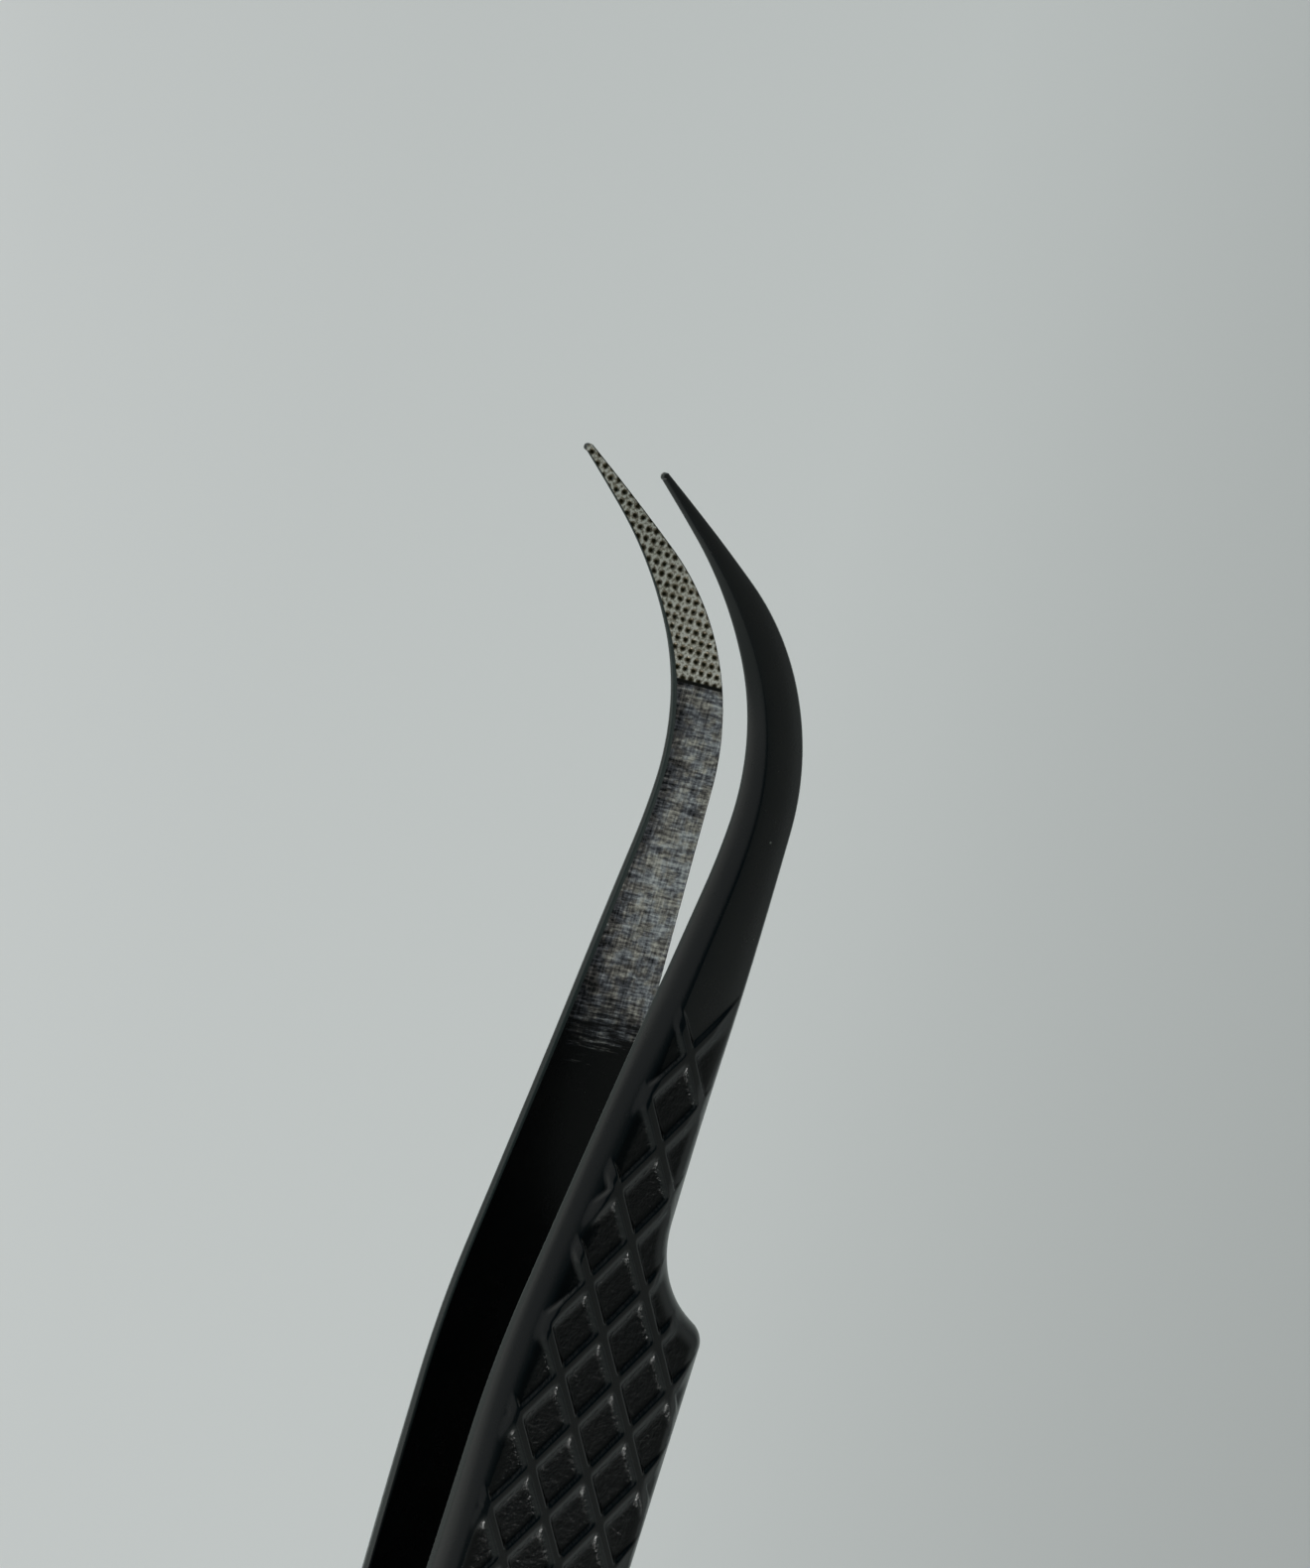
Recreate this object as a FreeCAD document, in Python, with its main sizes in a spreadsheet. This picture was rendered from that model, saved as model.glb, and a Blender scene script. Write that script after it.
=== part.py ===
import FreeCAD, Part
import math
import os
import Sketcher

# Curved (S-tip) precision tweezers: two spring-steel arms spot-welded at the tail.
# Frame: +X from tail to tip, +Y towards the left arm, +Z towards the side the tips
# sweep to.  Millimetres.  The tool lies on the straight notch-side edges at Z = 0, with
# the origin on that line and on the middle plane between the arms.

Vector = FreeCAD.Vector
Rotation = FreeCAD.Rotation
Placement = FreeCAD.Placement

doc = FreeCAD.newDocument("curved_tip_tweezers")
sheet = doc.addObject("Spreadsheet::Sheet", "dims")
sheet.Label = "dims"

DIMS = [
    # name, value, what it is
    ("handle_width", 11.26, "width of the parallel part of the handle"),
    ("tail_x", 65.1, "distance of the tail end behind the origin"),
    ("tail_radius", 3.25, "radius of the rounded tail end"),
    ("taper_turn", 3.15, "half angle of the tail taper, deg"),
    ("taper_blend", 60.0, "radius between taper and parallel handle"),
    ("shoulder_x", 21.27, "start of the shoulder on the lower edge"),
    ("shoulder_radius", 1.3, "outer shoulder radius"),
    ("shoulder_turn", 57.25, "shoulder turn, deg"),
    ("shoulder_drop", 0.52, "straight between shoulder and notch"),
    ("notch_radius", 6.25, "inner radius of the notch"),
    ("notch_turn", 56.05, "notch turn, deg"),
    ("neck_length", 21.38, "straight lower edge of the neck"),
    ("hook_out_radius", 14.85, "lower edge: radius of the tip sweep"),
    ("hook_out_turn", 54.0, "lower edge: turn of the tip sweep, deg"),
    ("claw_out_radius", 143.0, "lower edge: radius of the last stretch"),
    ("claw_out_turn", 3.0, "lower edge: turn of the last stretch, deg"),
    ("crest_x", 14.62, "start of the narrowing on the upper edge"),
    ("crest_radius", 65.0, "radius at the start of the narrowing"),
    ("crest_turn", 7.15, "narrowing angle, deg"),
    ("slope_length", 22.87, "straight upper edge of the neck"),
    ("saddle_radius", 36.4, "upper edge: radius at the start of the tip sweep"),
    ("saddle_turn", 5.35, "upper edge: turn at the start of the tip sweep, deg"),
    ("hook_in_radius", 14.9, "upper edge: radius of the tip sweep"),
    ("hook_in_turn", 33.2, "upper edge: turn of the tip sweep, deg"),
    ("ease_in_radius", 23.0, "upper edge: radius where the sweep eases off"),
    ("ease_in_turn", 17.85, "upper edge: turn where the sweep eases off, deg"),
    ("claw_in_radius", 120.0, "upper edge: radius of the last stretch"),
    ("claw_in_turn", 1.7, "upper edge: turn of the last stretch, deg"),
    ("weld_x", 51.0, "distance of the end of the welded flat behind the origin"),
    ("bend_radius", 40.0, "radius of the bend that opens the arms"),
    ("bend_turn", 3.87, "angle of that bend, deg"),
    ("bow_radius", 1957.0, "radius of the long bow of each arm"),
    ("bow_turn", 3.42, "turn of that bow, deg"),
    ("pivot_x", 41.0, "distance of the flex line behind the origin"),
    ("flex_gap", 0.1, "gap where the spring is parted at the flex line"),
    ("grip_start", 9.0, "rear end of the grip pattern behind the origin"),
    ("grip_end", 38.9, "front end of the grip pattern"),
    ("grip_pitch", 5.11, "length of one diamond of the grip pattern"),
    ("grip_angle", 33.0, "angle of the grip ridges to the long axis, deg"),
    ("grip_node_x", 26.7, "X of one crossing of the grip ridges"),
    ("grip_node_z", 6.72, "Z of that crossing"),
    ("ridge_width", 0.55, "width of one grip ridge"),
    ("ridge_height", 0.25, "height of the grip ridges above the face"),
    ("grip_border", 1.05, "plain border beside the grip pattern"),
    ("land_y", 3.37, "Y of the lower limit of the outer bevels at X = 0"),
    ("land_lean", 1.7, "lean of that limit to the X axis, deg"),
    ("bevel_run", 0.9, "bevel width for the rise below"),
    ("bevel_rise", 1.3, "bevel height for the run above"),
    ("bevel_reach", 1.2, "inward reach of the bevel cutter"),
    ("bevel_margin", 0.5, "outward reach of the bevel cutter"),
    ("skin_depth", 0.3, "depth at which the ridges are rooted below the face"),
    ("nugget_radius", 1.5, "radius of a weld nugget"),
    ("nugget_depth", 0.55, "depth of a weld nugget into each tang"),
    ("weld_rear_x", 60.5, "rear weld behind the origin"),
    ("weld_front_x", 55.0, "front weld behind the origin"),
]
D = {}
for row, (name, value, note) in enumerate(DIMS, start=1):
    sheet.set("A%d" % row, name)
    sheet.set("B%d" % row, str(value))
    sheet.set("C%d" % row, note)
    sheet.setAlias("B%d" % row, name)
    D[name] = value
doc.recompute()

# arm thickness at stations along X; the face between them is one smooth curve
THICKNESS = [
    (-70.0, 1.2), (-50.0, 1.2), (-41.0, 0.8), (-31.0, 1.0), (-14.0, 1.8),
    (4.0, 1.95), (22.0, 1.85), (38.0, 1.4), (50.0, 1.0), (58.0, 0.65), (66.0, 0.35),
]
# sizes of the construction bodies, larger than the arm in every direction
REAR_END = -70.0
OVERLAP = 1.0
PLATE_DEPTH = 12.0
BOW_HEIGHT = 30.0
BAR_LENGTH = 24.0
BAR_NUMBERS = range(-8, 5)
TANG_BLOCK = 60.0
ARM_BLOCK = 130.0
BLOCK_WIDTH = 20.0
BLOCK_HEIGHT = 40.0
BLOCK_MARGIN = 2.0


def start_of(kind):
    return 2 if kind == "right" else 1


def end_of(kind):
    return 1 if kind == "right" else 2


class Chain:
    """A run of tangent lines and arcs in a sketch, held by sheet-driven constraints."""

    def __init__(self, sketch, point, heading):
        self.sketch = sketch
        self.point = Vector(point[0], point[1], 0)
        self.heading = math.radians(heading)
        self.items = []

    def join(self, geometry, kind):
        index = self.sketch.addGeometry(geometry, False)
        if self.items:
            last, last_kind = self.items[-1]
            self.sketch.addConstraint(
                Sketcher.Constraint("Tangent", last, end_of(last_kind), index, start_of(kind)))
        self.items.append((index, kind))
        return index

    def line(self, length, formula=None):
        step = Vector(math.cos(self.heading), math.sin(self.heading), 0) * length
        index = self.join(Part.LineSegment(self.point, self.point + step), "line")
        self.point = self.point + step
        if formula:
            drive(self.sketch, Sketcher.Constraint("Distance", index, length), formula)
        return index

    def arc(self, radius, turn, radius_formula, turn_formula):
        """Positive turn is to the left."""
        sweep = math.radians(turn)
        side = 1.0 if turn > 0 else -1.0
        normal = Vector(-math.sin(self.heading), math.cos(self.heading), 0) * (side * radius)
        centre = self.point + normal
        circle = Part.Circle(centre, Vector(0, 0, 1), radius)
        first = math.atan2(self.point.y - centre.y, self.point.x - centre.x)
        last = first + sweep
        if side > 0:
            index = self.join(Part.ArcOfCircle(circle, first, last), "left")
        else:
            index = self.join(Part.ArcOfCircle(circle, last, first), "right")
        self.point = centre + Vector(math.cos(last), math.sin(last), 0) * radius
        self.heading += sweep
        drive(self.sketch, Sketcher.Constraint("Radius", index, radius), radius_formula)
        angle = Sketcher.Constraint("Angle", index, abs(sweep))
        drive(self.sketch, angle, turn_formula, " * 1 deg")

    def first(self):
        index, kind = self.items[0]
        return index, start_of(kind)

    def last(self):
        index, kind = self.items[-1]
        return index, end_of(kind)


def drive(sketch, constraint, formula, unit=" * 1 mm"):
    """Add a dimensional constraint and bind it to a sheet cell (or formula)."""
    index = sketch.addConstraint(constraint)
    sketch.setExpression("Constraints[%d]" % index, "(" + formula + ")" + unit)


def pin(sketch, geometry, position, x, y, x_formula, y_formula):
    """Hold one sketch point at X, Y from the sketch origin."""
    drive(sketch, Sketcher.Constraint("DistanceX", -1, 1, geometry, position, x), x_formula)
    drive(sketch, Sketcher.Constraint("DistanceY", -1, 1, geometry, position, y), y_formula)


def new_sketch(name, plane):
    """A free sketch lying in the XZ plane (drawn X right, Z up) or in the XY plane."""
    sketch = doc.addObject("Sketcher::SketchObject", name)
    sketch.Label = name
    if plane == "XZ":
        sketch.Placement = Placement(Vector(0, 0, 0), Rotation(Vector(1, 0, 0), 90))
    return sketch


# ---------------------------------------------------------------- plan outline (X, Z)
def taper_length():
    """Straight length of one taper edge, from the tail cap to the blend."""
    lean = math.radians(D["taper_turn"])
    drop = D["handle_width"] / 2.0 - D["tail_radius"] * math.cos(lean)
    drop -= D["taper_blend"] * (1.0 - math.cos(lean))
    return drop / math.sin(lean)


def cap_centre():
    return Vector(D["tail_radius"] - D["tail_x"], D["handle_width"] / 2.0, 0)


def tail_point(side):
    """Where the tail cap runs into the taper; side is -1 (lower) or +1 (upper)."""
    lean = math.radians(D["taper_turn"])
    return cap_centre() + Vector(-math.sin(lean), side * math.cos(lean), 0) * D["tail_radius"]


def lower_run(sketch):
    run = Chain(sketch, tail_point(-1), -D["taper_turn"])
    run.line(taper_length())
    run.arc(D["taper_blend"], D["taper_turn"], "dims.taper_blend", "dims.taper_turn")
    flat = run.line(D["shoulder_x"] - run.point.x)
    run.arc(D["shoulder_radius"], D["shoulder_turn"], "dims.shoulder_radius", "dims.shoulder_turn")
    run.line(D["shoulder_drop"], "dims.shoulder_drop")
    run.arc(D["notch_radius"], -D["notch_turn"], "dims.notch_radius", "dims.notch_turn")
    run.line(D["neck_length"], "dims.neck_length")
    run.arc(D["hook_out_radius"], D["hook_out_turn"], "dims.hook_out_radius", "dims.hook_out_turn")
    run.arc(D["claw_out_radius"], D["claw_out_turn"], "dims.claw_out_radius", "dims.claw_out_turn")
    sketch.addConstraint(Sketcher.Constraint("Horizontal", flat))
    pin(sketch, flat, 2, D["shoulder_x"], 0.0, "dims.shoulder_x", "0")
    return run


def upper_run(sketch):
    run = Chain(sketch, tail_point(1), D["taper_turn"])
    run.line(taper_length())
    run.arc(D["taper_blend"], -D["taper_turn"], "dims.taper_blend", "dims.taper_turn")
    flat = run.line(D["crest_x"] - run.point.x)
    run.arc(D["crest_radius"], -D["crest_turn"], "dims.crest_radius", "dims.crest_turn")
    run.line(D["slope_length"], "dims.slope_length")
    run.arc(D["saddle_radius"], D["saddle_turn"], "dims.saddle_radius", "dims.saddle_turn")
    run.arc(D["hook_in_radius"], D["hook_in_turn"], "dims.hook_in_radius", "dims.hook_in_turn")
    run.arc(D["ease_in_radius"], D["ease_in_turn"], "dims.ease_in_radius", "dims.ease_in_turn")
    run.arc(D["claw_in_radius"], D["claw_in_turn"], "dims.claw_in_radius", "dims.claw_in_turn")
    sketch.addConstraint(Sketcher.Constraint("Horizontal", flat))
    pin(sketch, flat, 2, D["crest_x"], D["handle_width"], "dims.crest_x", "dims.handle_width")
    return run


def draw_plan(sketch):
    """Outline of one arm seen face-on."""
    lower = lower_run(sketch)
    upper = upper_run(sketch)

    # tail cap, tangent to both taper edges
    centre = cap_centre()
    high = tail_point(1) - centre
    low = tail_point(-1) - centre
    circle = Part.Circle(centre, Vector(0, 0, 1), D["tail_radius"])
    up_angle = math.atan2(high.y, high.x)
    low_angle = math.atan2(low.y, low.x) + 2.0 * math.pi
    cap = sketch.addGeometry(Part.ArcOfCircle(circle, up_angle, low_angle), False)
    index, position = upper.first()
    sketch.addConstraint(Sketcher.Constraint("Tangent", cap, 1, index, position))
    index, position = lower.first()
    sketch.addConstraint(Sketcher.Constraint("Tangent", cap, 2, index, position))
    drive(sketch, Sketcher.Constraint("Radius", cap, D["tail_radius"]), "dims.tail_radius")
    formula = "dims.tail_radius - dims.tail_x"
    drive(sketch, Sketcher.Constraint("DistanceX", -1, 1, cap, 3, centre.x), formula)

    # rounded point of the tip
    middle = (lower.point + upper.point) * 0.5
    half_width = (upper.point - lower.point).Length * 0.5
    nose = middle + Vector(math.cos(lower.heading), math.sin(lower.heading), 0) * half_width
    tip = sketch.addGeometry(Part.Arc(lower.point, nose, upper.point), False)
    index, position = lower.last()
    sketch.addConstraint(Sketcher.Constraint("Coincident", tip, 1, index, position))
    index, position = upper.last()
    sketch.addConstraint(Sketcher.Constraint("Coincident", tip, 2, index, position))


plan = new_sketch("arm_plan", "XZ")
draw_plan(plan)
doc.recompute()


# ---------------------------------------------------------------- side profile (X, Y)
def inner_height(x):
    """Y of the inner face of the left arm."""
    run = x + D["weld_x"]
    angle = math.radians(D["bend_turn"])
    bend_end = D["bend_radius"] * math.sin(angle)
    if run <= 0:
        return 0.0
    if run <= bend_end:
        return D["bend_radius"] - math.sqrt(D["bend_radius"] ** 2 - run ** 2)
    rise = D["bend_radius"] * (1.0 - math.cos(angle))
    radius = D["bow_radius"]
    start = radius * math.sin(angle)
    here = run - bend_end
    return rise + math.sqrt(radius ** 2 - (start - here) ** 2) - radius * math.cos(angle)


def face_curve(extra):
    points = [Vector(x, inner_height(x) + t + extra, 0) for x, t in THICKNESS]
    curve = Part.BSplineCurve()
    curve.interpolate(points)
    return curve, points


def draw_profile(sketch):
    inner = Chain(sketch, (REAR_END, 0.0), 0.0)
    base = inner.line(-D["weld_x"] - REAR_END)
    inner.arc(D["bend_radius"], D["bend_turn"], "dims.bend_radius", "dims.bend_turn")
    inner.arc(D["bow_radius"], -D["bow_turn"], "dims.bow_radius", "dims.bow_turn")
    curve, points = face_curve(0.0)
    outer = sketch.addGeometry(curve, False)
    front = sketch.addGeometry(Part.LineSegment(inner.point, points[-1]), False)
    rear = sketch.addGeometry(Part.LineSegment(points[0], Vector(REAR_END, 0, 0)), False)
    index, position = inner.last()
    sketch.addConstraint(Sketcher.Constraint("Coincident", front, 1, index, position))
    sketch.addConstraint(Sketcher.Constraint("Coincident", front, 2, outer, 2))
    sketch.addConstraint(Sketcher.Constraint("Coincident", rear, 1, outer, 1))
    index, position = inner.first()
    sketch.addConstraint(Sketcher.Constraint("Coincident", rear, 2, index, position))
    sketch.addConstraint(Sketcher.Constraint("Horizontal", base))
    pin(sketch, base, 2, -D["weld_x"], 0.0, "-dims.weld_x", "0")


profile = new_sketch("arm_profile", "XY")
draw_profile(profile)
doc.recompute()


def extrude(name, sketch, direction, ahead, back=0.0):
    item = doc.addObject("Part::Extrusion", name)
    item.Label = name
    item.Base = sketch
    item.DirMode = "Custom"
    item.Dir = direction
    item.LengthFwd = ahead
    item.LengthRev = back
    item.Solid = True
    return item


plate = extrude("arm_plate", plan, Vector(0, 1, 0), PLATE_DEPTH, OVERLAP)
bowed = extrude("arm_bow", profile, Vector(0, 0, 1), BOW_HEIGHT, OVERLAP)
blank = doc.addObject("Part::MultiCommon", "arm_blank")
blank.Shapes = [plate, bowed]


# ---------------------------------------------------------------- bevelled outer edges
def cutter(name, run_of, side):
    """Three-sided bar swept along one long edge; it cuts the bevel of the outer face."""
    lean = Rotation(Vector(0, 0, 1), D["land_lean"])
    path = doc.addObject("Sketcher::SketchObject", name + "_path")
    path.Label = path.Name
    path.Placement = Placement(Vector(0, D["land_y"], 0), lean * Rotation(Vector(1, 0, 0), 90))
    run_of(path)
    doc.recompute()
    place = path.Placement
    start = place.multVec(tail_point(side))
    heading = math.radians(D["taper_turn"] * side)
    along = place.Rotation.multVec(Vector(math.cos(heading), math.sin(heading), 0))
    out = place.Rotation.multVec(Vector(-math.sin(heading) * side, side * math.cos(heading), 0))
    up = lean.multVec(Vector(0, 1, 0))
    section = doc.addObject("Sketcher::SketchObject", name + "_section")
    section.Label = section.Name
    section.Placement = Placement(start, Rotation(out, up, Vector(0, 0, 0), "XYZ"))
    slope = D["bevel_rise"] / D["bevel_run"]
    margin = D["bevel_margin"]
    reach = D["bevel_reach"]
    corners = [
        Vector(margin, -margin * slope, 0),
        Vector(margin, reach * slope, 0),
        Vector(-reach, reach * slope, 0),
    ]
    for one, two in zip(corners, corners[1:] + corners[:1]):
        section.addGeometry(Part.LineSegment(one, two), False)
    for index in range(3):
        section.addConstraint(Sketcher.Constraint("Coincident", index, 2, (index + 1) % 3, 1))
    rise = "dims.bevel_rise / dims.bevel_run"
    pin(section, 0, 1, margin, -margin * slope, "dims.bevel_margin", "-dims.bevel_margin * " + rise)
    pin(section, 1, 1, margin, reach * slope, "dims.bevel_margin", "dims.bevel_reach * " + rise)
    pin(section, 2, 1, -reach, reach * slope, "-dims.bevel_reach", "dims.bevel_reach * " + rise)
    bar = doc.addObject("Part::Sweep", name)
    bar.Label = name
    bar.Sections = [section]
    bar.Spine = (path, ["Edge%d" % (n + 1) for n in range(len(path.Shape.Edges))])
    bar.Solid = True
    bar.Frenet = False
    return bar


lower_bevel = cutter("lower_bevel", lower_run, -1)
upper_bevel = cutter("upper_bevel", upper_run, 1)


# ---------------------------------------------------------------- grip ridges
def draw_grip_region(sketch):
    """Plan of the grip pattern: the handle and shoulder less a plain border."""
    border = D["grip_border"]
    run = Chain(sketch, (-D["grip_start"], border), 0.0)
    base = run.line(D["grip_start"] + D["shoulder_x"])
    run.arc(D["shoulder_radius"] - border, D["shoulder_turn"],
            "dims.shoulder_radius - dims.grip_border", "dims.shoulder_turn")
    run.line(D["shoulder_drop"], "dims.shoulder_drop")
    run.arc(D["notch_radius"] + border, -D["notch_turn"],
            "dims.notch_radius + dims.grip_border", "dims.notch_turn")
    run.line((D["grip_end"] - run.point.x) / math.cos(run.heading))
    low = run.point
    back = Chain(sketch, (-D["grip_start"], D["handle_width"] - border), 0.0)
    roof = back.line(D["grip_start"] + D["crest_x"])
    back.arc(D["crest_radius"] - border, -D["crest_turn"],
             "dims.crest_radius - dims.grip_border", "dims.crest_turn")
    back.line((D["grip_end"] - back.point.x) / math.cos(back.heading))
    high = back.point
    front = sketch.addGeometry(Part.LineSegment(low, high), False)
    bottom = Vector(-D["grip_start"], border, 0)
    top = Vector(-D["grip_start"], D["handle_width"] - border, 0)
    rear = sketch.addGeometry(Part.LineSegment(top, bottom), False)
    for line, end, chain_end in ((front, 1, run.last()), (front, 2, back.last()),
                                 (rear, 1, back.first()), (rear, 2, run.first())):
        sketch.addConstraint(Sketcher.Constraint("Coincident", line, end, *chain_end))
    for line in (base, roof):
        sketch.addConstraint(Sketcher.Constraint("Horizontal", line))
    for line in (front, rear):
        sketch.addConstraint(Sketcher.Constraint("Vertical", line))
    pin(sketch, base, 2, D["shoulder_x"], border, "dims.shoulder_x", "dims.grip_border")
    pin(sketch, roof, 2, D["crest_x"], D["handle_width"] - border,
        "dims.crest_x", "dims.handle_width - dims.grip_border")
    drive(sketch, Sketcher.Constraint("DistanceX", -1, 1, front, 1, low.x), "dims.grip_end")
    drive(sketch, Sketcher.Constraint("DistanceX", -1, 1, rear, 1, top.x), "-dims.grip_start")


def draw_skin(sketch):
    """Side view of the layer that holds the ridges, following the outer face."""
    curve, low_points = face_curve(-D["skin_depth"])
    low = sketch.addGeometry(curve, False)
    curve, high_points = face_curve(D["ridge_height"])
    high = sketch.addGeometry(curve, False)
    front = sketch.addGeometry(Part.LineSegment(low_points[-1], high_points[-1]), False)
    rear = sketch.addGeometry(Part.LineSegment(high_points[0], low_points[0]), False)
    for line, end, other, other_end in ((front, 1, low, 2), (front, 2, high, 2),
                                        (rear, 1, high, 1), (rear, 2, low, 1)):
        sketch.addConstraint(Sketcher.Constraint("Coincident", line, end, other, other_end))


region_plan = new_sketch("grip_region", "XZ")
draw_grip_region(region_plan)
region = extrude("grip_column", region_plan, Vector(0, 1, 0), PLATE_DEPTH)
skin_side = new_sketch("grip_skin", "XY")
draw_skin(skin_side)
skin = extrude("grip_layer", skin_side, Vector(0, 0, 1), BOW_HEIGHT, OVERLAP)


def grip_bar(name, number, side):
    """One straight ridge through a crossing of the pattern; side is +1 or -1."""
    bar = doc.addObject("Part::Box", name)
    bar.Label = name
    bar.Length = BAR_LENGTH
    bar.Width = PLATE_DEPTH
    bar.setExpression("Height", "dims.ridge_width * 1 mm")
    angle = "(%d * dims.grip_angle * 1 deg)" % side
    bar.Placement = Placement(Vector(0, 0, 0), Rotation(Vector(0, -side, 0), D["grip_angle"]))
    bar.setExpression("Placement.Rotation.Angle", "dims.grip_angle * 1 deg")
    middle_x = "(dims.grip_node_x + %d * dims.grip_pitch)" % number
    shift_x = "(%g * cos%s - dims.ridge_width / 2 * sin%s)" % (BAR_LENGTH / 2, angle, angle)
    shift_z = "(%g * sin%s + dims.ridge_width / 2 * cos%s)" % (BAR_LENGTH / 2, angle, angle)
    bar.setExpression("Placement.Base.x", "(%s - %s) * 1 mm" % (middle_x, shift_x))
    bar.setExpression("Placement.Base.z", "(dims.grip_node_z - %s) * 1 mm" % shift_z)
    return bar


bars = []
for side in (1, -1):
    for number in BAR_NUMBERS:
        order = number - BAR_NUMBERS.start + 1
        name = "grip_bar_%s_%02d" % ("up" if side > 0 else "down", order)
        bars.append(grip_bar(name, number, side))
lattice = doc.addObject("Part::MultiFuse", "grip_lattice")
lattice.Shapes = bars
net = doc.addObject("Part::MultiCommon", "grip_net")
net.Shapes = [lattice, region, skin]


# ---------------------------------------------------------------- one whole arm
def cut(name, base, tool):
    item = doc.addObject("Part::Cut", name)
    item.Label = name
    item.Base = base
    item.Tool = tool
    return item


half_bevelled = cut("arm_half_bevelled", blank, lower_bevel)
bevelled = cut("arm_bevelled", half_bevelled, upper_bevel)
whole = doc.addObject("Part::MultiFuse", "arm_whole")
whole.Shapes = [bevelled, net]


# ---------------------------------------------------------------- weld nuggets
def nugget(name, cell):
    item = doc.addObject("Part::Cylinder", name)
    item.Label = name
    item.setExpression("Radius", "dims.nugget_radius * 1 mm")
    item.setExpression("Height", "2 * dims.nugget_depth * 1 mm")
    item.Placement = Placement(Vector(0, 0, 0), Rotation(Vector(1, 0, 0), 90))
    item.setExpression("Placement.Base.x", "-dims.%s * 1 mm" % cell)
    item.setExpression("Placement.Base.y", "dims.nugget_depth * 1 mm")
    item.setExpression("Placement.Base.z", "dims.handle_width / 2 * 1 mm")
    return item


rear_weld = nugget("rear_weld", "weld_rear_x")
front_weld = nugget("front_weld", "weld_front_x")
welds = doc.addObject("Part::MultiFuse", "weld_pair")
welds.Shapes = [rear_weld, front_weld]


# ---------------------------------------------------------------- parting at the flex line
def block(name, x_formula, length):
    item = doc.addObject("Part::Box", name)
    item.Label = name
    item.Length = length
    item.Width = BLOCK_WIDTH
    item.Height = BLOCK_HEIGHT
    item.Placement = Placement(Vector(0, -BLOCK_MARGIN, -BLOCK_MARGIN), Rotation())
    item.setExpression("Placement.Base.x", "(%s) * 1 mm" % x_formula)
    return item


def common(name, shapes):
    item = doc.addObject("Part::MultiCommon", name)
    item.Label = name
    item.Shapes = shapes
    return item


def mirrored(name, source):
    item = doc.addObject("Part::Mirroring", name)
    item.Label = name
    item.Source = source
    item.Base = Vector(0, 0, 0)
    item.Normal = Vector(0, 1, 0)
    return item


ahead = block("block_ahead", "dims.flex_gap / 2 - dims.pivot_x", ARM_BLOCK)
behind = block("block_behind", "-dims.flex_gap / 2 - dims.pivot_x - %g" % TANG_BLOCK, TANG_BLOCK)
left_arm = common("left_arm", [whole, ahead])
tang_blank = common("tang_blank", [whole, behind])
left_tang = cut("left_tang", tang_blank, welds)
right_arm = mirrored("right_arm", left_arm)
right_tang = mirrored("right_tang", left_tang)
doc.recompute()

NODES = [left_tang, right_tang, rear_weld, front_weld, left_arm, right_arm]
for item in doc.Objects:
    if "Invalid" in item.State or "Error" in item.State:
        raise RuntimeError("%s did not build: %s" % (item.Name, item.State))
    shape = getattr(item, "Shape", None)
    if shape is not None and item.TypeId != "Spreadsheet::Sheet":
        if shape.isNull() or not shape.isValid():
            raise RuntimeError("%s has no valid shape" % item.Name)

os.makedirs("parts", exist_ok=True)
for item in NODES:
    if len(item.Shape.Solids) != 1:
        raise RuntimeError("%s is not one solid" % item.Label)
    item.Shape.exportStep("parts/%s.step" % item.Label)
    print(item.Label, round(item.Shape.Volume, 2), item.Shape.BoundBox)
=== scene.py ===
import math

import bpy
import numpy as np
from mathutils import Matrix, Vector
from mathutils.kdtree import KDTree


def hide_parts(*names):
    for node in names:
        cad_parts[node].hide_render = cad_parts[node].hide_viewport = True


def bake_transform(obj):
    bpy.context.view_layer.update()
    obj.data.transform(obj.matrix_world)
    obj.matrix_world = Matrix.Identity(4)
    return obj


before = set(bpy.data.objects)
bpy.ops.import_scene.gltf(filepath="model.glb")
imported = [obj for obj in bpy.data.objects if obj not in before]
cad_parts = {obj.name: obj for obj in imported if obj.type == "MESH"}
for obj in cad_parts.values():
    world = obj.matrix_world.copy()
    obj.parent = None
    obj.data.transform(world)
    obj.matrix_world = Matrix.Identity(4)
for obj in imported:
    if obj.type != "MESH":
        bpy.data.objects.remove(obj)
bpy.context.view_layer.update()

MM = 0.001

# ---------------------------------------------------------------- driving sizes, mm and degrees
# plan of an arm: X from the tail to the tip, Z from the notch side up to the crest side
HANDLE_WIDTH = 11.26
TAIL_X = -65.1
TAIL_RADIUS = 3.25
TAPER_TURN = 3.15
TAPER_BLEND = 60.0
SHOULDER_X = 21.27
CREST_X = 14.62
# the rest of each edge, ahead of the parallel handle: ("line", length) or ("arc", radius, turn)
NOTCH_SIDE = [("arc", 1.3, 57.25), ("line", 0.52), ("arc", 6.25, -56.05), ("line", 21.38),
              ("arc", 14.85, 54.0), ("arc", 143.0, 3.0)]
CREST_SIDE = [("arc", 65.0, -7.15), ("line", 22.87), ("arc", 36.4, 5.35), ("arc", 14.9, 33.2),
              ("arc", 23.0, 17.85), ("arc", 120.0, 1.7)]

# the grip: raised ridges along two crossing sets of parallel lines, numbered along X
GRIP_PITCH = 5.11
GRIP_ANGLE = math.radians(33.0)
GRIP_NODE = (26.7, 6.72)
GRIP_LAST = 2
GRIP_FIRST = -7
GRIP_HIGH_BORDER = 0.75
GRIP_LOW_BORDER = 0.5
RIDGE_HEIGHT = 0.24
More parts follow.
